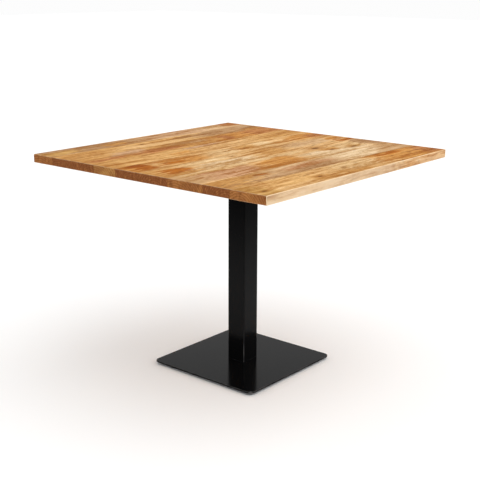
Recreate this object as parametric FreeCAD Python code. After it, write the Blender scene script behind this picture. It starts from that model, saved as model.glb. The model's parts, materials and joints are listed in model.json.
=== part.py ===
"""A square pedestal table: an edge-glued plank top on a square steel column and a flat plate base.

Frame: millimetres, +Z up, origin on the floor at the middle of the base. The planks run along X.
Each function makes one sub-part where it sits in the finished table, and main() writes one STEP per node.
"""

import FreeCAD
import Part

import math
import os

Vector = FreeCAD.Vector
DOWN = Vector(0, 0, -1)
UP = Vector(0, 0, 1)

# Overall sizes
TABLE_HEIGHT = 765.0
TOP_SIDE = 1000.0
TOP_THICKNESS = 28.0
BASE_SIDE = 450.0
BASE_THICKNESS = 6.0
BASE_CORNER_RADIUS = 20.0
BASE_ARRIS_RADIUS = 0.8
COLUMN_SIDE = 75.0
COLUMN_WALL = 3.0
COLUMN_CORNER_RADIUS = 4.5
COLUMN_END_CHAMFER = 0.8

# Plank top, from the front plank at -Y to the back plank at +Y
PLANK_WIDTHS = [133.0, 102.0, 140.0, 125.0, 100.0, 100.0, 110.0, 95.0, 95.0]
TOP_CORNER_RADIUS = 3.0
TOP_ARRIS_RADIUS = 1.6

# Steel mounting plate under the top, screwed up into the planks all round its rim
MOUNT_SIDE = 400.0
MOUNT_THICKNESS = 5.0
MOUNT_CORNER_RADIUS = 12.0
SCREW_ROWS = [-180.0, -60.0, 60.0, 180.0]
SCREW_RADIUS = 2.5
SCREW_LENGTH = 24.0
SCREW_TIP_LENGTH = 4.0
SCREW_TIP_RADIUS = 0.6
SCREW_HEAD_RADIUS = 4.8
SCREW_HEAD_HEIGHT = 3.2
SCREW_HEAD_ROUND = 1.9
RECESS_WIDTH = 1.0
RECESS_REACH = 4.6
RECESS_DEPTH = 1.8
WASHER_RADIUS = 7.5
WASHER_THICKNESS = 1.2
WASHER_HOLE_RADIUS = 2.7
# The slots run across the grain, so that the top can swell and shrink over the steel
SLOT_RADIUS = 3.0
SLOT_LENGTH = 12.0
PILOT_CLEARANCE = 0.05

# Countersunk M8 bolts into tapped plugs, which are welded into the column's two ends
PLUG_THICKNESS = 10.0
PLUG_CORNER_RADIUS = 3.0
BOLT_OFFSET = 20.0
BOLT_RADIUS = 4.0
BOLT_LENGTH = 14.0
BOLT_HEAD_RADIUS = 8.0
BOLT_HEAD_RIM = 0.5
BOLT_SOCKET_FLATS = 5.0
BOLT_SOCKET_DEPTH = 2.6
BOLT_HOLE_RADIUS = 4.5
COUNTERSINK_CLEARANCE = 0.1
TAPPED_CLEARANCE = 0.05

# Levelling glides: a welded boss, an M8 stud with a hexagon, and a nylon pad that the stud turns in
GLIDE_OFFSET = 180.0
PAD_RADIUS = 14.0
PAD_HEIGHT = 3.2
PAD_FLOOR = 1.0
PAD_LIP = 0.6
PAD_ARRIS_RADIUS = 0.8
FOOT_RADIUS = 6.0
FOOT_HEIGHT = 1.5
FOOT_CLEARANCE = 0.1
STUD_RADIUS = 4.0
STUD_CHAMFER = 0.6
LIP_CLEARANCE = 0.3
HEX_FLATS = 13.0
HEX_HEIGHT = 2.2
HEX_GAP = 0.3
BOSS_RADIUS = 10.0
BOSS_HEIGHT = 2.3
BORE_DEPTH = 4.6
BORE_END_GAP = 0.6

# Heights that follow, from the floor up
HEX_BOTTOM = PAD_HEIGHT + HEX_GAP
HEX_TOP = HEX_BOTTOM + HEX_HEIGHT
BASE_BOTTOM = HEX_TOP + BOSS_HEIGHT
BASE_TOP = BASE_BOTTOM + BASE_THICKNESS
TOP_BOTTOM = TABLE_HEIGHT - TOP_THICKNESS
MOUNT_BOTTOM = TOP_BOTTOM - MOUNT_THICKNESS
COLUMN_LENGTH = MOUNT_BOTTOM - BASE_TOP
COLUMN_INSIDE = COLUMN_SIDE - 2 * COLUMN_WALL

BOLT_PLACES = [(x, y) for x in (-BOLT_OFFSET, BOLT_OFFSET) for y in (-BOLT_OFFSET, BOLT_OFFSET)]
SCREW_PLACES = [(x, y) for x in SCREW_ROWS for y in SCREW_ROWS if max(abs(x), abs(y)) == SCREW_ROWS[-1]]
# The glides go round the base from the corner at -X -Y
GLIDE_PLACES = [(-GLIDE_OFFSET, -GLIDE_OFFSET), (GLIDE_OFFSET, -GLIDE_OFFSET),
                (GLIDE_OFFSET, GLIDE_OFFSET), (-GLIDE_OFFSET, GLIDE_OFFSET)]


def square_prism(side, radius, z, height):
    """A square prism on the middle axis with rounded upright edges, from z up."""
    block = Part.makeBox(side, side, height, Vector(-side / 2, -side / 2, z))
    upright = [e for e in block.Edges if e.BoundBox.ZLength > height / 2]
    return block.makeFillet(radius, upright)


def edges_at(shape, z):
    """The edges of shape that lie in the level plane at z."""
    return [e for e in shape.Edges if abs(e.BoundBox.ZMin - z) < 1e-6 and e.BoundBox.ZLength < 1e-6]


def disc(x, y, z, radius, height):
    """An upright cylinder from z up."""
    return Part.makeCylinder(radius, height, Vector(x, y, z))


def hexagon(x, y, z, flats, height):
    """An upright hexagonal prism from z up, flats being its width across flats."""
    reach = flats / math.sqrt(3)
    turns = [math.radians(60 * i) for i in range(7)]
    corners = [Vector(x + reach * math.cos(turn), y + reach * math.sin(turn), z) for turn in turns]
    return Part.Face(Part.makePolygon(corners)).extrude(Vector(0, 0, height))


def slot(x, y, z, height):
    """A round-ended slot along Y, from z up."""
    run = SLOT_LENGTH - 2 * SLOT_RADIUS
    opening = Part.makeBox(2 * SLOT_RADIUS, run, height, Vector(x - SLOT_RADIUS, y - run / 2, z))
    for end in (-run / 2, run / 2):
        opening = opening.fuse(disc(x, y + end, z, SLOT_RADIUS, height))
    return opening.removeSplitter()


def screw_body(x, y, z, length, grow=0.0):
    """A wood screw's shank and point from z up, or its pilot hole, which is larger by grow."""
    radius = SCREW_RADIUS + grow
    tip_z = z + length - SCREW_TIP_LENGTH
    tip = Part.makeCone(radius, SCREW_TIP_RADIUS + grow, SCREW_TIP_LENGTH + grow, Vector(x, y, tip_z))
    return disc(x, y, z, radius, length - SCREW_TIP_LENGTH).fuse(tip)


def planks():
    """The planks by node name: one eased panel, parted along its glue lines and bored for the screws."""
    panel = square_prism(TOP_SIDE, TOP_CORNER_RADIUS, TOP_BOTTOM, TOP_THICKNESS)
    panel = panel.makeFillet(TOP_ARRIS_RADIUS, edges_at(panel, TOP_BOTTOM) + edges_at(panel, TABLE_HEIGHT))
    screwed_length = SCREW_LENGTH - WASHER_THICKNESS - MOUNT_THICKNESS
    found = {}
    edge_y = -TOP_SIDE / 2
    for number, width in enumerate(PLANK_WIDTHS, 1):
        strip = Part.makeBox(TOP_SIDE, width, TOP_THICKNESS, Vector(-TOP_SIDE / 2, edge_y, TOP_BOTTOM))
        plank = panel.common(strip)
        for x, y in SCREW_PLACES:
            if edge_y < y < edge_y + width:
                plank = plank.cut(screw_body(x, y, TOP_BOTTOM, screwed_length, PILOT_CLEARANCE))
        found["top_plank_%d" % number] = plank
        edge_y += width
    return found


def wood_screws():
    """Pan-head cross-recess screws, driven up through the washers and the plate into the planks."""
    seat_z = MOUNT_BOTTOM - WASHER_THICKNESS
    head_z = seat_z - SCREW_HEAD_HEIGHT
    screws = []
    for x, y in SCREW_PLACES:
        head = disc(x, y, head_z, SCREW_HEAD_RADIUS, SCREW_HEAD_HEIGHT)
        head = head.makeFillet(SCREW_HEAD_ROUND, edges_at(head, head_z))
        for size_x, size_y in ((RECESS_WIDTH, RECESS_REACH), (RECESS_REACH, RECESS_WIDTH)):
            corner = Vector(x - size_x / 2, y - size_y / 2, head_z)
            head = head.cut(Part.makeBox(size_x, size_y, RECESS_DEPTH, corner))
        screws.append(head.fuse(screw_body(x, y, seat_z, SCREW_LENGTH)).removeSplitter())
    return screws


def screw_washers():
    """Plain washers under the wood screws' heads, which bridge the slots."""
    z = MOUNT_BOTTOM - WASHER_THICKNESS
    return [disc(x, y, z, WASHER_RADIUS, WASHER_THICKNESS)
            .cut(disc(x, y, z, WASHER_HOLE_RADIUS, WASHER_THICKNESS)) for x, y in SCREW_PLACES]


def bolt_form(x, y, face_z, into, shank_radius, grow=0.0):
    """A countersunk bolt whose head lies flush in the face at face_z, or its hole, larger by grow."""
    head_radius = BOLT_HEAD_RADIUS + grow
    face = Vector(x, y, face_z)
    cone_start = face + into * BOLT_HEAD_RIM
    rim = Part.makeCylinder(head_radius, BOLT_HEAD_RIM, face, into)
    cone = Part.makeCone(head_radius, shank_radius, head_radius - shank_radius, cone_start, into)
    shank = Part.makeCylinder(shank_radius, BOLT_LENGTH, face, into)
    return rim.fuse(cone).fuse(shank).removeSplitter()


def flat_bolts(face_z, into):
    """Countersunk socket bolts, heads flush in the face at face_z and shanks running along into."""
    bolts = []
    for x, y in BOLT_PLACES:
        socket_z = min(face_z, face_z + into.z * BOLT_SOCKET_DEPTH)
        socket = hexagon(x, y, socket_z, BOLT_SOCKET_FLATS, BOLT_SOCKET_DEPTH)
        bolts.append(bolt_form(x, y, face_z, into, BOLT_RADIUS).cut(socket))
    return bolts


def with_bolt_holes(plate, face_z, into):
    """The plate with its four countersunk clearance holes."""
    for x, y in BOLT_PLACES:
        plate = plate.cut(bolt_form(x, y, face_z, into, BOLT_HOLE_RADIUS, COUNTERSINK_CLEARANCE))
    return plate


def mounting_plate():
    """The plate that is bolted to the column's head and screwed to the underside of the planks."""
    plate = square_prism(MOUNT_SIDE, MOUNT_CORNER_RADIUS, MOUNT_BOTTOM, MOUNT_THICKNESS)
    for x, y in SCREW_PLACES:
        plate = plate.cut(slot(x, y, MOUNT_BOTTOM, MOUNT_THICKNESS))
    return with_bolt_holes(plate, TOP_BOTTOM, DOWN)


def column_tube():
    """The square tube of the column, its cut ends eased."""
    tube = square_prism(COLUMN_SIDE, COLUMN_CORNER_RADIUS, BASE_TOP, COLUMN_LENGTH)
    tube = tube.makeChamfer(COLUMN_END_CHAMFER, edges_at(tube, BASE_TOP) + edges_at(tube, MOUNT_BOTTOM))
    return tube.cut(square_prism(COLUMN_INSIDE, COLUMN_CORNER_RADIUS - COLUMN_WALL, BASE_TOP, COLUMN_LENGTH))


def column_plug(z):
    """A plug welded flush into one end of the column, tapped for its four bolts."""
    plug = square_prism(COLUMN_INSIDE, PLUG_CORNER_RADIUS, z, PLUG_THICKNESS)
    for x, y in BOLT_PLACES:
        plug = plug.cut(disc(x, y, z, BOLT_RADIUS + TAPPED_CLEARANCE, PLUG_THICKNESS))
    return plug


def base_plate():
    """The floor plate, bored from below for the column's bolts and, blind, for the glides' studs."""
    plate = square_prism(BASE_SIDE, BASE_CORNER_RADIUS, BASE_BOTTOM, BASE_THICKNESS)
    plate = plate.makeFillet(BASE_ARRIS_RADIUS, edges_at(plate, BASE_BOTTOM) + edges_at(plate, BASE_TOP))
    for x, y in GLIDE_PLACES:
        plate = plate.cut(disc(x, y, BASE_BOTTOM, STUD_RADIUS + TAPPED_CLEARANCE, BORE_DEPTH))
    return with_bolt_holes(plate, BASE_BOTTOM, UP)


def glide_bosses():
    """Tapped bosses welded under the base plate, one over each glide."""
    return [disc(x, y, HEX_TOP, BOSS_RADIUS, BOSS_HEIGHT)
            .cut(disc(x, y, HEX_TOP, STUD_RADIUS + TAPPED_CLEARANCE, BOSS_HEIGHT)) for x, y in GLIDE_PLACES]


def glide_pad(x, y):
    """A nylon floor pad, with a lipped socket that holds the stud's foot and lets it turn."""
    pad = disc(x, y, 0, PAD_RADIUS, PAD_HEIGHT)
    pad = pad.makeFillet(PAD_ARRIS_RADIUS, edges_at(pad, 0) + edges_at(pad, PAD_HEIGHT))
    socket_height = PAD_HEIGHT - PAD_LIP - PAD_FLOOR
    socket = disc(x, y, PAD_FLOOR, FOOT_RADIUS + FOOT_CLEARANCE, socket_height)
    mouth = disc(x, y, PAD_FLOOR + socket_height, STUD_RADIUS + LIP_CLEARANCE, PAD_LIP)
    return pad.cut(socket.fuse(mouth))


def glide_stud(x, y):
    """A levelling stud: a round foot in the pad, a hexagon for a spanner and an M8 shank above."""
    foot = disc(x, y, PAD_FLOOR, FOOT_RADIUS, FOOT_HEIGHT)
    foot_top = PAD_FLOOR + FOOT_HEIGHT
    neck = disc(x, y, foot_top, STUD_RADIUS, HEX_BOTTOM - foot_top)
    nut = hexagon(x, y, HEX_BOTTOM, HEX_FLATS, HEX_HEIGHT)
    shank_length = BOSS_HEIGHT + BORE_DEPTH - BORE_END_GAP
    shank = disc(x, y, HEX_TOP, STUD_RADIUS, shank_length)
    shank = shank.makeChamfer(STUD_CHAMFER, edges_at(shank, HEX_TOP + shank_length))
    return foot.fuse(neck).fuse(nut).fuse(shank).removeSplitter()


def write(name, *pieces):
    """Writes one node, made of one solid or of several separate ones, and prints its volume."""
    solids = [solid for piece in pieces for solid in piece.Solids]
    node = solids[0] if len(solids) == 1 else Part.makeCompound(solids)
    if not node.isValid():
        raise ValueError(name + " is not a valid shape")
    node.exportStep(os.path.join("parts", name + ".step"))
    print("%-18s %2d solids %12.1f mm3" % (name, len(solids), sum(solid.Volume for solid in solids)))


def main():
    os.makedirs("parts", exist_ok=True)
    for name, plank in planks().items():
        write(name, plank)
    write("wood_screws", *wood_screws())
    write("screw_washers", *screw_washers())
    write("mounting_plate", mounting_plate())
    write("head_bolts", *flat_bolts(TOP_BOTTOM, DOWN))
    write("column_head_plug", column_plug(MOUNT_BOTTOM - PLUG_THICKNESS))
    write("column_tube", column_tube())
    write("column_foot_plug", column_plug(BASE_TOP))
    write("base_bolts", *flat_bolts(BASE_BOTTOM, UP))
    write("base_plate", base_plate())
    write("glide_bosses", *glide_bosses())
    for number, (x, y) in enumerate(GLIDE_PLACES, 1):
        write("glide_stud_%d" % number, glide_stud(x, y))
        write("glide_pad_%d" % number, glide_pad(x, y))


main()
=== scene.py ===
"""Looks for a square pedestal table: a plank top in mango wood on a black steel column and base plate.

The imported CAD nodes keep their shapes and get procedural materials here. Lengths are in metres, in the
frame of the CAD part: +Z up, the planks along X, the origin on the floor at the middle of the base.
"""

import json
import math

import bpy
from mathutils import Matrix, Vector


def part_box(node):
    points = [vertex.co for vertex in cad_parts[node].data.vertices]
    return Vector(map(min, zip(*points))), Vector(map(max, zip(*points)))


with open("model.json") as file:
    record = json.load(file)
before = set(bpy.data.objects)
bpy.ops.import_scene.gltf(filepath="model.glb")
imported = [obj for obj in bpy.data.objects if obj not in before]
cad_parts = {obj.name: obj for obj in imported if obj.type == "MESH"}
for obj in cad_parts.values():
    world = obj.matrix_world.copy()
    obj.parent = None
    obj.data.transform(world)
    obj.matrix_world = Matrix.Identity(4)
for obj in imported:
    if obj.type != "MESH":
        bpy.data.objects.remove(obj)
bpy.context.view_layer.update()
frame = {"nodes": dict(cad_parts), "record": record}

# The camera, at standing height off the corner at -X -Y
CAMERA_PLACE = (-2.507, -2.090, 1.327)
CAMERA_LENS = 72.4
CAMERA_SENSOR = 36.0
CAMERA_HEADING = 50.0
CAMERA_DIP = 15.0
CAMERA_ROLL = 0.2

# The studio
FLOOR_SIDE = 60.0
FLOOR_TONE = (0.96, 0.96, 0.96, 1.0)
FLOOR_ROUGHNESS = 0.9
FLOOR_GLOSS = 0.1
SKY_AT_HORIZON = 0.98
SKY_AT_MIDDLE = 0.80
SKY_OVERHEAD = 1.0
SKY_GREYS = (0.05, 0.18)
SKY_BRIGHTENS = (0.55, 0.95)
KEY_FROM = (0.35, -0.9, 1.3)
KEY_STRENGTH = 1.15
KEY_WIDTH = 80.0
WHITE = (1.0, 1.0, 1.0, 1.0)


def srgb(red, green, blue):
    """A colour given in 8-bit display values, as linear RGBA."""
    def linear(value):
        share = value / 255
        return share / 12.92 if share <= 0.04045 else ((share + 0.055) / 1.055) ** 2.4
    return (linear(red), linear(green), linear(blue), 1.0)


class Graph:
    """A node tree and short ways to add to it. An input may be a socket, a number, a vector or a colour."""

    def __init__(self, tree):
        self.tree = tree

    def add(self, kind, inputs=None, **settings):
        node = self.tree.nodes.new(kind)
        for name, value in settings.items():
            setattr(node, name, value)
        for name, value in (inputs or {}).items():
            self.set(node.inputs[name], value)
        return node

    def set(self, socket, value):
        if isinstance(value, bpy.types.NodeSocket):
            self.tree.links.new(value, socket)
        else:
            socket.default_value = value

    def place(self):
        """The place of the shaded point in the CAD part's frame, as it is at rest."""
        return self.add("ShaderNodeTexCoord").outputs["Object"]

    def axes(self, vector):
        return self.add("ShaderNodeSeparateXYZ", {0: vector}).outputs

    def combine(self, x, y, z):
        return self.add("ShaderNodeCombineXYZ", {0: x, 1: y, 2: z}).outputs[0]

    def math(self, operation, a, b=0.0, c=0.0, clamp=False):
        node = self.add("ShaderNodeMath", {0: a, 1: b, 2: c}, operation=operation, use_clamp=clamp)
        return node.outputs[0]

    def vector(self, operation, a, b=(0.0, 0.0, 0.0)):
        node = self.add("ShaderNodeVectorMath", {0: a, 1: b}, operation=operation)
        return node.outputs["Value" if operation == "LENGTH" else "Vector"]

    def step(self, value, low, high, start=0.0, end=1.0):
        """A smooth step of value from start, at low and before, to end, at high and after."""
        inputs = {"Value": value, "From Min": low, "From Max": high, "To Min": start, "To Max": end}
        return self.add("ShaderNodeMapRange", inputs, interpolation_type="SMOOTHSTEP").outputs["Result"]

    def fade(self, value, low, high):
        """1 as far as low, and smoothly down to 0 from high on."""
        return self.step(value, low, high, 1.0, 0.0)

    def inside(self, value, low, high):
        """How far inside its two limits a coordinate is."""
        return self.math("MINIMUM", self.math("SUBTRACT", value, low), self.math("SUBTRACT", high, value))

    def noise(self, place, features, detail=2.0, roughness=0.5):
        """Noise with so many features a metre: one number, or one for each of X, Y and Z."""
        scale = features if isinstance(features, tuple) else (features, features, features)
        inputs = {"Vector": self.vector("MULTIPLY", place, scale), "Scale": 1.0,
                  "Detail": detail, "Roughness": roughness}
        return self.add("ShaderNodeTexNoise", inputs).outputs[0]

    def mix(self, share, a, b, blend="MIX"):
        node = self.add("ShaderNodeMix", data_type="RGBA", blend_type=blend)
        self.set(node.inputs["Factor"], share)
        self.set(node.inputs[6], a)
        self.set(node.inputs[7], b)
        return node.outputs[2]

    def bump(self, height, depth, strength):
        inputs = {"Height": height, "Distance": depth, "Strength": strength}
        return self.add("ShaderNodeBump", inputs).outputs[0]


def new_material(name):
    """A material with its Principled shader, and the graph to feed it from."""
    material = bpy.data.materials.new(name)
    material.use_nodes = True
    material.node_tree.nodes.clear()
    graph = Graph(material.node_tree)
    shader = graph.add("ShaderNodeBsdfPrincipled")
    output = graph.add("ShaderNodeOutputMaterial")
    material.node_tree.links.new(shader.outputs[0], output.inputs[0])
    return material, graph, shader


# --- Mango wood ---------------------------------------------------------------------------------

CREAM = srgb(224, 193, 151)
PALE = srgb(220, 183, 132)
STRAW = srgb(214, 169, 112)
GOLD = srgb(211, 163, 101)
OLIVE_GOLD = srgb(198, 153, 88)
HONEY = srgb(200, 149, 86)
TAN = srgb(200, 160, 114)
ROSE_TAN = srgb(198, 156, 116)
MAUVE_TAN = srgb(200, 152, 111)
GREY_BROWN = srgb(181, 140, 97)
AMBER = srgb(202, 143, 74)
RUST = srgb(172, 100, 30)
RED_BROWN = srgb(182, 122, 70)
WALNUT = srgb(138, 83, 51)
DARK_BROWN = srgb(104, 62, 26)
SAPWOOD_AND_LIGHT = srgb(221, 197, 167)
PALEST = srgb(243, 217, 178)
# These two multiply another tone, for the dark and the light streaks of the figure
BURNT = srgb(205, 178, 136)
BLEACHED = (1.28, 1.40, 1.62, 1.0)

# Each plank from the front, at -Y, to the back: its overall tone, the tone of its end grain, kept dark
# partly as painted shade on the end faces, then its patches and its knots. A patch is (tone, along, across,
# half its length, half its width), along and across being 0 to 1 over the plank's length and width. A knot
# is (along, across, radius in metres).
PLANKS = [
    dict(tone=STRAW, end=RED_BROWN,
         patches=[(OLIVE_GOLD, 0.03, 0.45, 0.05, 0.55), (GOLD, 0.20, 0.60, 0.12, 0.35),
                  (HONEY, 0.32, 0.30, 0.05, 0.20), (HONEY, 0.47, 0.22, 0.09, 0.22),
                  (PALE, 0.56, 0.65, 0.11, 0.35), (AMBER, 0.83, 0.66, 0.14, 0.40),
                  (RUST, 0.80, 0.80, 0.07, 0.10), (AMBER, 0.88, 0.12, 0.13, 0.20),
                  (RED_BROWN, 0.97, 0.45, 0.05, 0.45)],
         knots=[(0.045, 0.33, 0.007), (0.32, 0.38, 0.006)]),
    dict(tone=TAN, end=WALNUT,
         patches=[(HONEY, 0.08, 0.50, 0.16, 0.55), (RUST, 0.225, 0.62, 0.025, 0.14),
                  (GREY_BROWN, 0.34, 0.25, 0.24, 0.28), (MAUVE_TAN, 0.45, 0.62, 0.12, 0.20),
                  (CREAM, 0.72, 0.55, 0.15, 0.45), (TAN, 0.92, 0.30, 0.12, 0.30)],
         knots=[]),
    dict(tone=STRAW, end=RED_BROWN,
         patches=[(TAN, 0.06, 0.60, 0.10, 0.50), (PALE, 0.36, 0.90, 0.30, 0.12),
                  (MAUVE_TAN, 0.20, 0.38, 0.12, 0.36), (AMBER, 0.44, 0.42, 0.10, 0.38),
                  (CREAM, 0.74, 0.32, 0.16, 0.30), (PALE, 0.90, 0.60, 0.12, 0.26),
                  (HONEY, 0.735, 0.52, 0.05, 0.14), (GREY_BROWN, 0.97, 0.50, 0.05, 0.50)],
         knots=[(0.718, 0.86, 0.011), (0.847, 0.33, 0.011), (0.742, 0.46, 0.007)]),
    dict(tone=STRAW, end=WALNUT,
         patches=[(HONEY, 0.04, 0.45, 0.12, 0.50), (RUST, 0.105, 0.50, 0.055, 0.26),
                  (CREAM, 0.31, 0.28, 0.13, 0.30), (PALE, 0.30, 0.84, 0.14, 0.14),
                  (HONEY, 0.57, 0.50, 0.065, 0.34), (TAN, 0.78, 0.55, 0.12, 0.30),
                  (RUST, 0.95, 0.16, 0.05, 0.14), (AMBER, 0.95, 0.55, 0.04, 0.20)],
         knots=[(0.405, 0.76, 0.005)]),
    dict(tone=STRAW, end=WALNUT,
         patches=[(AMBER, 0.03, 0.50, 0.07, 0.60), (RUST, 0.072, 0.52, 0.038, 0.46),
                  (AMBER, 0.24, 0.48, 0.10, 0.44), (RUST, 0.20, 0.42, 0.05, 0.10),
                  (PALE, 0.45, 0.50, 0.06, 0.40), (HONEY, 0.575, 0.52, 0.045, 0.40),
                  (PALE, 0.67, 0.50, 0.045, 0.45), (AMBER, 0.90, 0.45, 0.13, 0.46),
                  (RED_BROWN, 0.96, 0.30, 0.05, 0.30)],
         knots=[(0.462, 0.50, 0.004), (0.55, 0.38, 0.004)]),
    dict(tone=GOLD, end=HONEY,
         patches=[(HONEY, 0.02, 0.50, 0.06, 0.60), (AMBER, 0.34, 0.42, 0.05, 0.22),
                  (STRAW, 0.56, 0.50, 0.16, 0.50), (ROSE_TAN, 0.48, 0.92, 0.12, 0.12),
                  (HONEY, 0.90, 0.50, 0.12, 0.36)],
         knots=[]),
    dict(tone=HONEY, end=WALNUT,
         patches=[(HONEY, 0.06, 0.45, 0.14, 0.50), (RED_BROWN, 0.09, 0.32, 0.09, 0.20),
                  (ROSE_TAN, 0.22, 0.72, 0.08, 0.26), (RED_BROWN, 0.34, 0.36, 0.11, 0.24),
                  (TAN, 0.52, 0.70, 0.08, 0.20), (AMBER, 0.78, 0.45, 0.14, 0.45),
                  (RED_BROWN, 0.70, 0.50, 0.03, 0.40), (RED_BROWN, 0.93, 0.55, 0.11, 0.48)],
         knots=[]),
    dict(tone=GOLD, end=WALNUT,
         patches=[(HONEY, 0.08, 0.60, 0.12, 0.40), (STRAW, 0.40, 0.35, 0.16, 0.35),
                  (GREY_BROWN, 0.82, 0.50, 0.20, 0.55), (HONEY, 0.95, 0.12, 0.06, 0.14)],
         knots=[(0.38, 0.64, 0.006)]),
    dict(tone=TAN, end=RED_BROWN,
         patches=[(GREY_BROWN, 0.18, 0.50, 0.24, 0.60), (OLIVE_GOLD, 0.06, 0.40, 0.08, 0.30),
                  (HONEY, 0.32, 0.38, 0.05, 0.25), (ROSE_TAN, 0.62, 0.50, 0.16, 0.45),
                  (RED_BROWN, 0.955, 0.62, 0.04, 0.40)],
         knots=[]),
]

TOP_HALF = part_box("top_plank_5")[1].x

# Features a metre along the grain and across it
WAVES = (2.2, 5.0)
WOBBLE = (9.0, 45.0)
BANDS = (2.0, 15.0)
STREAKS = (4.0, 42.0)
FINE_STREAKS = (11.0, 95.0)
MOTTLE = (60.0, 70.0)
HAIR_LINES = (9.0, 420.0)
FIBRES = (50.0, 1500.0)
FLECKS = (30.0, 110.0)
FLECK_FIELDS = (4.0, 14.0)
PORES = (160.0, 2200.0)

# How far the waves bend the grain, and how far each plank is shifted in the noise from the one before
WAVE_BEND = 0.05
PLANK_SHIFT = (3.17, 1.31, 0.73)

# Knots are longer along the grain. Their pull on it dies away with the square of the distance
KNOT_SLIMNESS = 0.55
KNOT_WOBBLE = 1.2
KNOT_PULL = 2.2
KNOT_PULL_DECAY = 0.12
KNOT_CORE = (0.4, 1.2)
KNOT_HALO = (1.0, 3.6)

# Growth rings, and the pith that they go round: it is below the plank and leans a little along it, and
# a different way in each plank
RING_SPACING = 0.0075
RING_DARKENS = (0.40, 0.95)
RING_ENDS = (0.95, 1.0)
RING_WAVES = 0.03
RING_WOBBLE = 0.009
PITH_TURN = 2.4
PITH_DEPTH_TURN = 1.7
PITH_ASIDE = 0.03
PITH_DEPTH = 0.035
PITH_DEPTH_SPREAD = 0.02
PITH_SIDE_LEAN = 0.035
PITH_UP_LEAN = 0.03

# The figure, by the weight of each of its layers, and where on that measure the tones change
RING_WEIGHT = 0.30
BAND_WEIGHT = 2.6
STREAK_WEIGHT = 3.0
FINE_STREAK_WEIGHT = 2.8
MOTTLE_WEIGHT = 1.3
HAIR_LINE_WEIGHT = 1.8
FIBRE_WEIGHT = 1.2
MEAN_RING = 0.35
FIGURE_DARKENS = (-0.30, 0.70)
FIGURE_LIGHTENS = (-0.30, -1.10)

# Patches: how ragged their borders are, and the part of their half size over which they fade
PATCH_RAGGEDNESS = 1.6
PATCH_WOBBLE = 0.5
PATCH_LENGTH_FADE = (0.45, 1.55)
PATCH_WIDTH_FADE = (0.50, 1.50)
PATCH_EDGE = (0.12, 0.88)

# Flecks, pores and knots: where the first two start in their noise, and how far each darkens the wood
PORE_EDGE = (0.62, 0.72)
FLECK_EDGE = (0.58, 0.72)
FLECK_FIELD_EDGE = (0.46, 0.60)
FLECK_SHARE = 0.60
PORE_SHARE = 0.45
HALO_SHARE = 0.70
CORE_SHARE = 0.90

# The top darkens towards its ends. A face's own looks go this deep into the wood
END_REACH = 0.09
END_SHARE = 0.25
FACE_DEPTH = (0.0004, 0.0012)

# End grain, kept dark partly as painted shade on the end faces: features a metre of its clouds, stains and
# speckle, and how far each of them shows
END_CLOUDS = 30.0
END_STAINS = (150.0, 150.0, 60.0)
END_SPECKLE = 900.0
END_CLOUD_SHARE = 0.70
END_LIGHT_STAIN_SHARE = 0.50
END_DARK_STAIN_SHARE = 0.60
END_RING_SHARE = 0.60
END_SPECKLE_SHARE = 0.70

# The pale sapwood in the outer sides, which is partly painted light; the arrises, pale partly from sanding
# and partly as a painted highlight; and the glue lines
SAPWOOD_CHANGES = (0.62, 0.76)
SAPWOOD_AND_LIGHT_SHARES = (0.62, 0.30)
SAPWOOD_RAGGEDNESS = 0.9
ARRIS_WIDTH = (0.0010, 0.0022)
ARRIS_PALE_AND_HIGHLIGHT_SHARES = (0.40, 0.90)
ARRIS_WEAKENS = (0.001, 0.006)
ARRIS_END_SHARE = 0.3
GLUE_HALF_WIDTH = 0.0009
GLUE_SHARE = 0.8

# The lacquer, and the relief of the grain under it by the weight of each part
LACQUER_ROUGHNESS = 0.42
STREAK_ROUGHNESS = 0.18
PORE_ROUGHNESS = 0.2
LACQUER_IOR = 1.05
FIBRE_RELIEF = 0.35
STREAK_RELIEF = 0.65
PORE_RELIEF = -0.8
KNOT_RELIEF = -1.5
GRAIN_DEPTH = 0.00012
GRAIN_STRENGTH = 0.6


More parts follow.
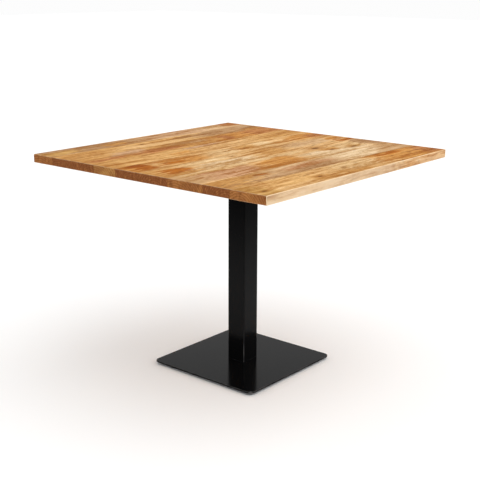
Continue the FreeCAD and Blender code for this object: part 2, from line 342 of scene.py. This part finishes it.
class Grain:
    """The solid grain of one plank, which its faces cut: the sockets that its looks share."""

    def __init__(self, graph, number, knots):
        self.graph = graph
        self.low, self.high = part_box("top_plank_%d" % number)
        self.length = self.high.x - self.low.x
        self.width = self.high.y - self.low.y
        self.place = graph.place()
        self.x, self.y, self.z = graph.axes(self.place)
        self.along = graph.math("DIVIDE", graph.math("SUBTRACT", self.x, self.low.x), self.length)
        self.across = graph.math("DIVIDE", graph.math("SUBTRACT", self.y, self.low.y), self.width)
        self.shifted = graph.vector("ADD", self.place, [number * shift for shift in PLANK_SHIFT])

        # Slow waves along the grain, and the knots, bend everything that follows
        self.bent = self.shifted
        self.waves = graph.math("SUBTRACT", self.noise(WAVES), 0.5)
        self.knot_pull = 0.0
        self.knot_core = 0.0
        self.knot_halo = 0.0
        for knot in knots:
            self.add_knot(*knot)
        bend = graph.math("ADD", graph.math("MULTIPLY", self.waves, WAVE_BEND), self.knot_pull)
        self.bent = graph.vector("ADD", self.shifted, graph.combine(0.0, bend, 0.0))

        self.wobble = self.noise(WOBBLE, detail=3.0)
        self.rings = self.growth_rings(number)
        self.streaks = self.noise(STREAKS, detail=3.0, roughness=0.6)
        self.fine_streaks = self.noise(FINE_STREAKS, detail=5.0, roughness=0.7)
        self.fibres = self.noise(FIBRES)
        self.pores = graph.step(self.noise(PORES, detail=1.0), *PORE_EDGE)
        self.ragged = graph.math("SUBTRACT", graph.math("ADD", self.streaks, self.fine_streaks), 1.0)

    def noise(self, features, detail=2.0, roughness=0.5):
        """Noise that follows the grain, with so many features a metre along it and across it."""
        along, across = features
        return self.graph.noise(self.bent, (along, across, across), detail, roughness)

    def add_knot(self, along, across, radius):
        """A knot through the plank's thickness, which pushes the grain into loops round itself."""
        graph = self.graph
        centre = (self.low.x + along * self.length, self.low.y + across * self.width, 0.0)
        offset = graph.vector("SUBTRACT", self.place, centre)
        offset = graph.vector("MULTIPLY", offset, (KNOT_SLIMNESS / radius, 1.0 / radius, 0.0))
        distance = graph.math("MULTIPLY", self.waves, KNOT_WOBBLE)
        distance = graph.math("ADD", graph.vector("LENGTH", offset), distance)
        decay = graph.math("MULTIPLY", graph.math("POWER", distance, 2.0), -KNOT_PULL_DECAY)
        pull = graph.math("MULTIPLY", graph.math("EXPONENT", decay), radius * KNOT_PULL)
        self.knot_pull = graph.math("ADD", self.knot_pull, pull)
        self.knot_core = graph.math("MAXIMUM", self.knot_core, graph.fade(distance, *KNOT_CORE))
        self.knot_halo = graph.math("MAXIMUM", self.knot_halo, graph.fade(distance, *KNOT_HALO))

    def growth_rings(self, number):
        """The rings round the pith: 0 in the early wood, up to 1 where each ring ends."""
        graph = self.graph
        turn = number * PITH_TURN
        pith_y = (self.low.y + self.high.y) / 2 + PITH_ASIDE * math.sin(turn)
        pith_z = self.low.z - PITH_DEPTH - PITH_DEPTH_SPREAD * math.cos(turn * PITH_DEPTH_TURN)
        aside = graph.math("MULTIPLY_ADD", self.x, PITH_SIDE_LEAN * math.sin(turn), self.y)
        aside = graph.math("MULTIPLY_ADD", self.waves, RING_WAVES, graph.math("SUBTRACT", aside, pith_y))
        above = graph.math("MULTIPLY_ADD", self.x, PITH_UP_LEAN * math.cos(turn), self.z)
        above = graph.math("SUBTRACT", above, pith_z)
        reach = graph.vector("LENGTH", graph.combine(0.0, aside, above))
        reach = graph.math("ADD", reach, self.knot_pull)
        reach = graph.math("MULTIPLY_ADD", self.wobble, RING_WOBBLE, reach)
        phase = graph.math("FRACT", graph.math("DIVIDE", reach, RING_SPACING))
        return graph.math("MULTIPLY", graph.step(phase, *RING_DARKENS), graph.fade(phase, *RING_ENDS))

    def figure(self):
        """One measure of how dark the figure is, from the light streaks below 0 to the dark ones above."""
        graph = self.graph
        layers = [(self.noise(BANDS), BAND_WEIGHT), (self.streaks, STREAK_WEIGHT),
                  (self.fine_streaks, FINE_STREAK_WEIGHT), (self.noise(MOTTLE), MOTTLE_WEIGHT),
                  (self.noise(HAIR_LINES, detail=3.0, roughness=0.6), HAIR_LINE_WEIGHT),
                  (self.fibres, FIBRE_WEIGHT)]
        figure = graph.math("MULTIPLY", graph.math("SUBTRACT", self.rings, MEAN_RING), RING_WEIGHT)
        for layer, weight in layers:
            figure = graph.math("MULTIPLY_ADD", graph.math("SUBTRACT", layer, 0.5), weight, figure)
        return figure


def patched_tone(graph, grain, plank):
    """The plank's overall tone with its patches, whose ragged borders follow the streaks."""
    wobble = graph.math("SUBTRACT", grain.wobble, 0.5)
    across_place = graph.math("MULTIPLY_ADD", wobble, PATCH_WOBBLE, grain.across)
    tone = plank["tone"]
    for patch_tone, along, across, half_length, half_width in plank["patches"]:
        along_place = graph.math("MULTIPLY_ADD", grain.ragged, PATCH_RAGGEDNESS * half_length, grain.along)
        off_along = graph.math("ABSOLUTE", graph.math("SUBTRACT", along_place, along))
        off_across = graph.math("ABSOLUTE", graph.math("SUBTRACT", across_place, across))
        in_length = graph.fade(off_along, *[part * half_length for part in PATCH_LENGTH_FADE])
        in_width = graph.fade(off_across, *[part * half_width for part in PATCH_WIDTH_FADE])
        share = graph.math("MULTIPLY_ADD", in_length, in_width, grain.ragged)
        tone = graph.mix(graph.step(share, *PATCH_EDGE), tone, patch_tone)
    return tone


def figured_colour(graph, grain, tone, reach_x):
    """The long grain: a tone with its dark and light figure, flecks, pores and knots."""
    darker = graph.mix(1.0, tone, BURNT, "MULTIPLY")
    tone = graph.mix(graph.step(reach_x, 0.0, END_REACH, END_SHARE, 0.0), tone, darker)
    lighter = graph.mix(1.0, graph.mix(1.0, tone, BLEACHED, "MULTIPLY"), PALEST, "DARKEN")
    figure = grain.figure()
    colour = graph.mix(graph.step(figure, *FIGURE_DARKENS), tone, darker)
    colour = graph.mix(graph.step(figure, *FIGURE_LIGHTENS), colour, lighter)
    fleck_fields = graph.step(grain.noise(FLECK_FIELDS), *FLECK_FIELD_EDGE)
    flecks = graph.math("MULTIPLY", graph.step(grain.noise(FLECKS), *FLECK_EDGE), fleck_fields)
    colour = graph.mix(graph.math("MULTIPLY", flecks, FLECK_SHARE), colour, DARK_BROWN)
    colour = graph.mix(graph.math("MULTIPLY", grain.pores, PORE_SHARE), colour, DARK_BROWN)
    colour = graph.mix(graph.math("MULTIPLY", grain.knot_halo, HALO_SHARE), colour, darker)
    return graph.mix(graph.math("MULTIPLY", grain.knot_core, CORE_SHARE), colour, DARK_BROWN)


def end_grain_and_shade_colour(graph, grain, end_tone):
    """The end grain: dark, partly as painted shade, clouded and stained, with the rings and the open pores.
    """
    clouds = graph.noise(grain.shifted, END_CLOUDS, detail=3.0)
    stains = graph.noise(grain.shifted, END_STAINS, detail=4.0, roughness=0.65)
    speckle = graph.noise(grain.place, END_SPECKLE)
    colour = graph.mix(graph.step(clouds, 0.35, 0.65, 0.0, END_CLOUD_SHARE), end_tone, WALNUT)
    colour = graph.mix(graph.step(stains, 0.50, 0.36, 0.0, END_LIGHT_STAIN_SHARE), colour, RED_BROWN)
    colour = graph.mix(graph.step(stains, 0.52, 0.66, 0.0, END_DARK_STAIN_SHARE), colour, DARK_BROWN)
    colour = graph.mix(graph.math("MULTIPLY", grain.rings, END_RING_SHARE), colour, DARK_BROWN)
    return graph.mix(graph.step(speckle, 0.50, 0.62, 0.0, END_SPECKLE_SHARE), colour, DARK_BROWN)


def sapwood_and_light_share(graph, grain, reach_y):
    """The pale sapwood in the top's two long outer sides, with less of it towards +X. Its paleness is
    partly a painted light on these faces.
    """
    share = graph.step(grain.along, *SAPWOOD_CHANGES, *SAPWOOD_AND_LIGHT_SHARES)
    share = graph.math("MULTIPLY_ADD", grain.ragged, -SAPWOOD_RAGGEDNESS, share, clamp=True)
    return graph.math("MULTIPLY", share, graph.fade(reach_y, *FACE_DEPTH))


def arris_pale_and_highlight_share(graph, grain, reach_x, reach_y):
    """The eased arrises, pale partly from sanding and partly as a painted highlight: there the second
    nearest of the outer faces is close too.

    They are paler along the long outer sides than across the ends, as the painted highlight is weaker
    across the ends.
    """
    reach_z = graph.inside(grain.z, grain.low.z, grain.high.z)
    nearer = graph.math("MINIMUM", reach_x, reach_y)
    farther = graph.math("MAXIMUM", reach_x, reach_y)
    second = graph.math("MAXIMUM", nearer, graph.math("MINIMUM", farther, reach_z))
    share = graph.step(grain.wobble, 0.36, 0.60, *ARRIS_PALE_AND_HIGHLIGHT_SHARES)
    share = graph.math("MULTIPLY", share, graph.fade(second, *ARRIS_WIDTH))
    return graph.math("MULTIPLY", share, graph.step(reach_y, *ARRIS_WEAKENS, 1.0, ARRIS_END_SHARE))


def glue_share(graph, grain):
    """A thin dark line where the plank is glued to its neighbours, and none on the outer sides."""
    edge = graph.inside(grain.y, grain.low.y, grain.high.y)
    inner = graph.math("LESS_THAN", graph.math("ABSOLUTE", grain.y), TOP_HALF - 4 * GLUE_HALF_WIDTH)
    return graph.math("MULTIPLY", graph.step(edge, 0.0, GLUE_HALF_WIDTH, GLUE_SHARE, 0.0), inner)


def plank_material(number, plank):
    """Lacquered mango wood for one plank."""
    material, graph, shader = new_material("mango_plank_%d" % number)
    grain = Grain(graph, number, plank["knots"])
    reach_x = graph.math("SUBTRACT", TOP_HALF, graph.math("ABSOLUTE", grain.x))
    reach_y = graph.math("SUBTRACT", TOP_HALF, graph.math("ABSOLUTE", grain.y))

    colour = figured_colour(graph, grain, patched_tone(graph, grain, plank), reach_x)
    # The end faces take the end grain, whose darkness is partly a painted shade
    colour = graph.mix(graph.fade(reach_x, *FACE_DEPTH), colour, end_grain_and_shade_colour(graph, grain, plank["end"]))
    # Pale sapwood on the long sides, partly painted light
    colour = graph.mix(sapwood_and_light_share(graph, grain, reach_y), colour, SAPWOOD_AND_LIGHT)
    # Pale arrises: partly sanding, partly a painted highlight
    colour = graph.mix(arris_pale_and_highlight_share(graph, grain, reach_x, reach_y), colour, PALEST)
    colour = graph.mix(glue_share(graph, grain), colour, DARK_BROWN)
    graph.set(shader.inputs["Base Color"], colour)

    roughness = graph.math("MULTIPLY_ADD", grain.streaks, STREAK_ROUGHNESS, LACQUER_ROUGHNESS)
    roughness = graph.math("MULTIPLY_ADD", grain.pores, PORE_ROUGHNESS, roughness)
    graph.set(shader.inputs["Roughness"], roughness)
    shader.inputs["IOR"].default_value = LACQUER_IOR
    height = graph.math("MULTIPLY", grain.fine_streaks, STREAK_RELIEF)
    height = graph.math("MULTIPLY_ADD", grain.fibres, FIBRE_RELIEF, height)
    height = graph.math("MULTIPLY_ADD", grain.pores, PORE_RELIEF, height)
    height = graph.math("MULTIPLY_ADD", grain.knot_core, KNOT_RELIEF, height)
    graph.set(shader.inputs["Normal"], graph.bump(height, GRAIN_DEPTH, GRAIN_STRENGTH))
    return material


# --- Metal and nylon ----------------------------------------------------------------------------

# Plated and oxidised steel. What is named after a texture is its features a metre
ZINC = (0.62, 0.63, 0.64, 1.0)
DULL_ZINC = (0.45, 0.46, 0.48, 1.0)
ZINC_ROUGHNESS = 0.22
BLACK_OXIDE = (0.050, 0.050, 0.053, 1.0)
DULL_BLACK_OXIDE = (0.025, 0.025, 0.027, 1.0)
OXIDE_ROUGHNESS = 0.32
METAL_BLOTCHES = 300.0
METAL_SCRATCHES = (4000.0, 250.0, 900.0)
SCRATCH_DEPTH = 0.00002

# Nylon
NYLON = (0.055, 0.055, 0.056, 1.0)
SCUFFED_NYLON = (0.11, 0.11, 0.112, 1.0)
NYLON_ROUGHNESS = 0.5
NYLON_GRAIN = 2500.0
NYLON_SCUFFS = 160.0
NYLON_GRAIN_DEPTH = 0.00005

# Powder coat
COAT_DARK = (0.0022, 0.0022, 0.0024, 1.0)
COAT_LIGHT = (0.0034, 0.0034, 0.0036, 1.0)
# The column's coat towards its head: a painted shade
COAT_PAINTED_SHADE = (0.0008, 0.0008, 0.0009, 1.0)
COAT_SPECK = (0.020, 0.020, 0.021, 1.0)
# The pale coat on rims and corners: partly rubbed wear, partly a painted highlight
COAT_RUBBED_AND_HIGHLIGHT = (0.080, 0.080, 0.082, 1.0)
COAT_IOR = 1.15
COAT_ROUGHNESS = 0.12
COAT_PEEL = 420.0
COAT_PEEL_DEPTH = 0.00003
COAT_CLOUDS = 6.0
COAT_DUST = 1500.0
COAT_SCUFFS = (60.0, 60.0, 25.0)

# The rims, pale partly from rubbing and partly as a painted highlight, are this near an edge. The upright
# corners are pale in the same way from the first to the second of these parts of their radius, and less
# with height
RIM_WIDTH = (0.0004, 0.0014)
CORNER_PARTS = (0.30, 0.60)
SCUFF_AND_HIGHLIGHT_HEIGHTS = (0.03, 0.15)
SCUFF_AND_HIGHLIGHT_HIGH_UP = 0.1
CORNER_RADII = {"column_tube": 0.0045, "base_plate": 0.020, "mounting_plate": 0.012}

# Between these heights the column's coat gets darker towards its head as a painted shade, and its specular
# level goes from one to the other, a painted shade on its reflections too
PAINTED_SHADE_HEIGHTS = (0.18, 0.70)
PAINTED_SHADE_LEVELS = (0.68, 0.10)


def edge_wear_and_highlight(graph, place, node, corner_radius):
    """How pale a square steel piece is along its rims and, towards the floor, its upright corners: partly
    rubbed wear and partly a painted highlight.
    """
    low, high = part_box(node)
    x, y, z = graph.axes(place)
    past_x = graph.math("SUBTRACT", graph.math("ABSOLUTE", x), high.x - corner_radius)
    past_y = graph.math("SUBTRACT", graph.math("ABSOLUTE", y), high.y - corner_radius)
    outside = graph.combine(graph.math("MAXIMUM", past_x, 0.0), graph.math("MAXIMUM", past_y, 0.0), 0.0)
    reach_side = graph.math("SUBTRACT", corner_radius, graph.vector("LENGTH", outside))
    reach_z = graph.inside(z, low.z, high.z)
    rim_rub_and_highlight = graph.fade(graph.math("MAXIMUM", reach_side, reach_z), *RIM_WIDTH)
    # Near the floor the upright corners carry a painted highlight as well as scuffs
    corner_rub_and_highlight = graph.math("MINIMUM", past_x, past_y)
    corner_rub_and_highlight = graph.step(corner_rub_and_highlight, *[part * corner_radius for part in CORNER_PARTS])
    corner_rub_and_highlight = graph.math("MULTIPLY", corner_rub_and_highlight, graph.step(z, *SCUFF_AND_HIGHLIGHT_HEIGHTS, 1.0, SCUFF_AND_HIGHLIGHT_HIGH_UP))
    scuffs = graph.step(graph.noise(place, COAT_SCUFFS, detail=4.0), 0.35, 0.60, 0.3, 1.0)
    return graph.math("MULTIPLY", graph.math("MAXIMUM", rim_rub_and_highlight, corner_rub_and_highlight), scuffs)


def powder_coat(node):
    """Black semi-gloss powder coat: a faint orange peel, fine specks, cloudy gloss, rubbed edges that are
    partly a painted highlight, and on the column a painted shade towards its head.
    """
    material, graph, shader = new_material("black_powder_coat_" + node)
    place = graph.place()
    clouds = graph.noise(place, COAT_CLOUDS, detail=3.0)
    specks = graph.step(graph.noise(place, COAT_DUST, detail=1.0), 0.72, 0.80)
    tone = graph.mix(clouds, COAT_DARK, COAT_LIGHT)
    tone = graph.mix(graph.math("MULTIPLY", specks, 0.25), tone, COAT_SPECK)
    roughness = graph.math("MULTIPLY_ADD", clouds, 0.06, COAT_ROUGHNESS)
    roughness = graph.math("MULTIPLY_ADD", specks, 0.2, roughness)
    if node in CORNER_RADII:
        # Rims and lower corners paled, partly wear and partly a painted highlight
        rubbed_and_highlight = edge_wear_and_highlight(graph, place, node, CORNER_RADII[node])
        tone = graph.mix(rubbed_and_highlight, tone, COAT_RUBBED_AND_HIGHLIGHT)
        roughness = graph.math("MULTIPLY_ADD", rubbed_and_highlight, 0.15, roughness)
    if node == "column_tube":
        # Painted shade: the column darkens and loses gloss towards its head
        height = graph.axes(place)[2]
        tone = graph.mix(graph.step(height, *PAINTED_SHADE_HEIGHTS), tone, COAT_PAINTED_SHADE)
        graph.set(shader.inputs["Specular IOR Level"], graph.step(height, *PAINTED_SHADE_HEIGHTS, *PAINTED_SHADE_LEVELS))
    graph.set(shader.inputs["Base Color"], tone)
    graph.set(shader.inputs["Roughness"], roughness)
    shader.inputs["IOR"].default_value = COAT_IOR
    graph.set(shader.inputs["Normal"], graph.bump(graph.noise(place, COAT_PEEL), COAT_PEEL_DEPTH, 0.35))
    return material


def metal(name, tone, dark_tone, roughness):
    """Plated or oxidised steel with fine blotches and drawn scratches."""
    material, graph, shader = new_material(name)
    place = graph.place()
    blotches = graph.step(graph.noise(place, METAL_BLOTCHES, detail=4.0), 0.35, 0.7)
    scratches = graph.noise(place, METAL_SCRATCHES)
    graph.set(shader.inputs["Base Color"], graph.mix(blotches, tone, dark_tone))
    graph.set(shader.inputs["Roughness"], graph.math("MULTIPLY_ADD", scratches, 0.2, roughness))
    shader.inputs["Metallic"].default_value = 1.0
    graph.set(shader.inputs["Normal"], graph.bump(scratches, SCRATCH_DEPTH, 0.5))
    return material


def nylon(name):
    """Dark grey moulded nylon with a matt spark-eroded texture."""
    material, graph, shader = new_material(name)
    place = graph.place()
    grains = graph.noise(place, NYLON_GRAIN)
    scuffs = graph.step(graph.noise(place, NYLON_SCUFFS, detail=4.0), 0.45, 0.75)
    graph.set(shader.inputs["Base Color"], graph.mix(scuffs, NYLON, SCUFFED_NYLON))
    graph.set(shader.inputs["Roughness"], graph.math("MULTIPLY_ADD", grains, 0.2, NYLON_ROUGHNESS))
    graph.set(shader.inputs["Normal"], graph.bump(grains, NYLON_GRAIN_DEPTH, 0.5))
    return material


def dress(node, material):
    """Gives a CAD node its material, in place of what it came with."""
    mesh = frame["nodes"][node].data
    mesh.materials.clear()
    mesh.materials.append(material)


def dress_nodes():
    """Every CAD node keeps its shape and gets its finish."""
    for number, plank in enumerate(PLANKS, 1):
        dress("top_plank_%d" % number, plank_material(number, plank))
    finishes = {
        "zinc_plated_steel": metal("zinc_plated_steel", ZINC, DULL_ZINC, ZINC_ROUGHNESS),
        "black_oxide_steel": metal("black_oxide_steel", BLACK_OXIDE, DULL_BLACK_OXIDE, OXIDE_ROUGHNESS),
        "grey_nylon": nylon("grey_nylon"),
    }
    for part in frame["record"]["subparts"]:
        node, finish = part["node"], part["material_slot"]
        if finish == "black_powder_coat":
            dress(node, powder_coat(node))
        elif finish in finishes:
            dress(node, finishes[finish])


# --- Studio -------------------------------------------------------------------------------------

def studio_floor():
    """A wide plain pale floor."""
    mesh = bpy.data.meshes.new("studio_floor")
    half = FLOOR_SIDE / 2
    corners = [(-half, -half, 0), (half, -half, 0), (half, half, 0), (-half, half, 0)]
    mesh.from_pydata(corners, [], [(0, 1, 2, 3)])
    floor = bpy.data.objects.new("studio_floor", mesh)
    bpy.context.scene.collection.objects.link(floor)
    material, _, shader = new_material("studio_floor")
    shader.inputs["Base Color"].default_value = FLOOR_TONE
    shader.inputs["Roughness"].default_value = FLOOR_ROUGHNESS
    shader.inputs["Specular IOR Level"].default_value = FLOOR_GLOSS
    mesh.materials.append(material)


def studio_light():
    """A pale surround, greyer at mid height and brighter overhead, and one soft key from the right."""
    world = bpy.data.worlds.new("studio")
    bpy.context.scene.world = world
    world.use_nodes = True
    graph = Graph(world.node_tree)
    up = graph.axes(graph.add("ShaderNodeTexCoord").outputs["Generated"])[2]
    low = graph.step(up, *SKY_GREYS, SKY_AT_HORIZON, SKY_AT_MIDDLE)
    high = graph.step(up, *SKY_BRIGHTENS, 0.0, SKY_OVERHEAD - SKY_AT_MIDDLE)
    background = world.node_tree.nodes["Background"]
    graph.set(background.inputs["Strength"], graph.math("ADD", low, high))
    background.inputs["Color"].default_value = WHITE
    data = bpy.data.lights.new("key", "SUN")
    data.energy = KEY_STRENGTH
    data.angle = math.radians(KEY_WIDTH)
    key = bpy.data.objects.new("key", data)
    bpy.context.scene.collection.objects.link(key)
    key.rotation_euler = Vector(KEY_FROM).to_track_quat("Z", "Y").to_euler()


def studio_camera():
    """The camera, turned to its heading, dipped towards the table and rolled a little."""
    data = bpy.data.cameras.new("camera")
    data.lens = CAMERA_LENS
    data.sensor_width = CAMERA_SENSOR
    camera = bpy.data.objects.new("camera", data)
    bpy.context.scene.collection.objects.link(camera)
    heading = Matrix.Rotation(math.radians(-CAMERA_HEADING), 4, "Z")
    dip = Matrix.Rotation(math.radians(90.0 - CAMERA_DIP), 4, "X")
    roll = Matrix.Rotation(math.radians(CAMERA_ROLL), 4, "Z")
    camera.matrix_world = Matrix.Translation(CAMERA_PLACE) @ heading @ dip @ roll
    bpy.context.scene.camera = camera


studio_camera()
studio_floor()
studio_light()
dress_nodes()
bpy.context.scene.view_settings.view_transform = "Standard"
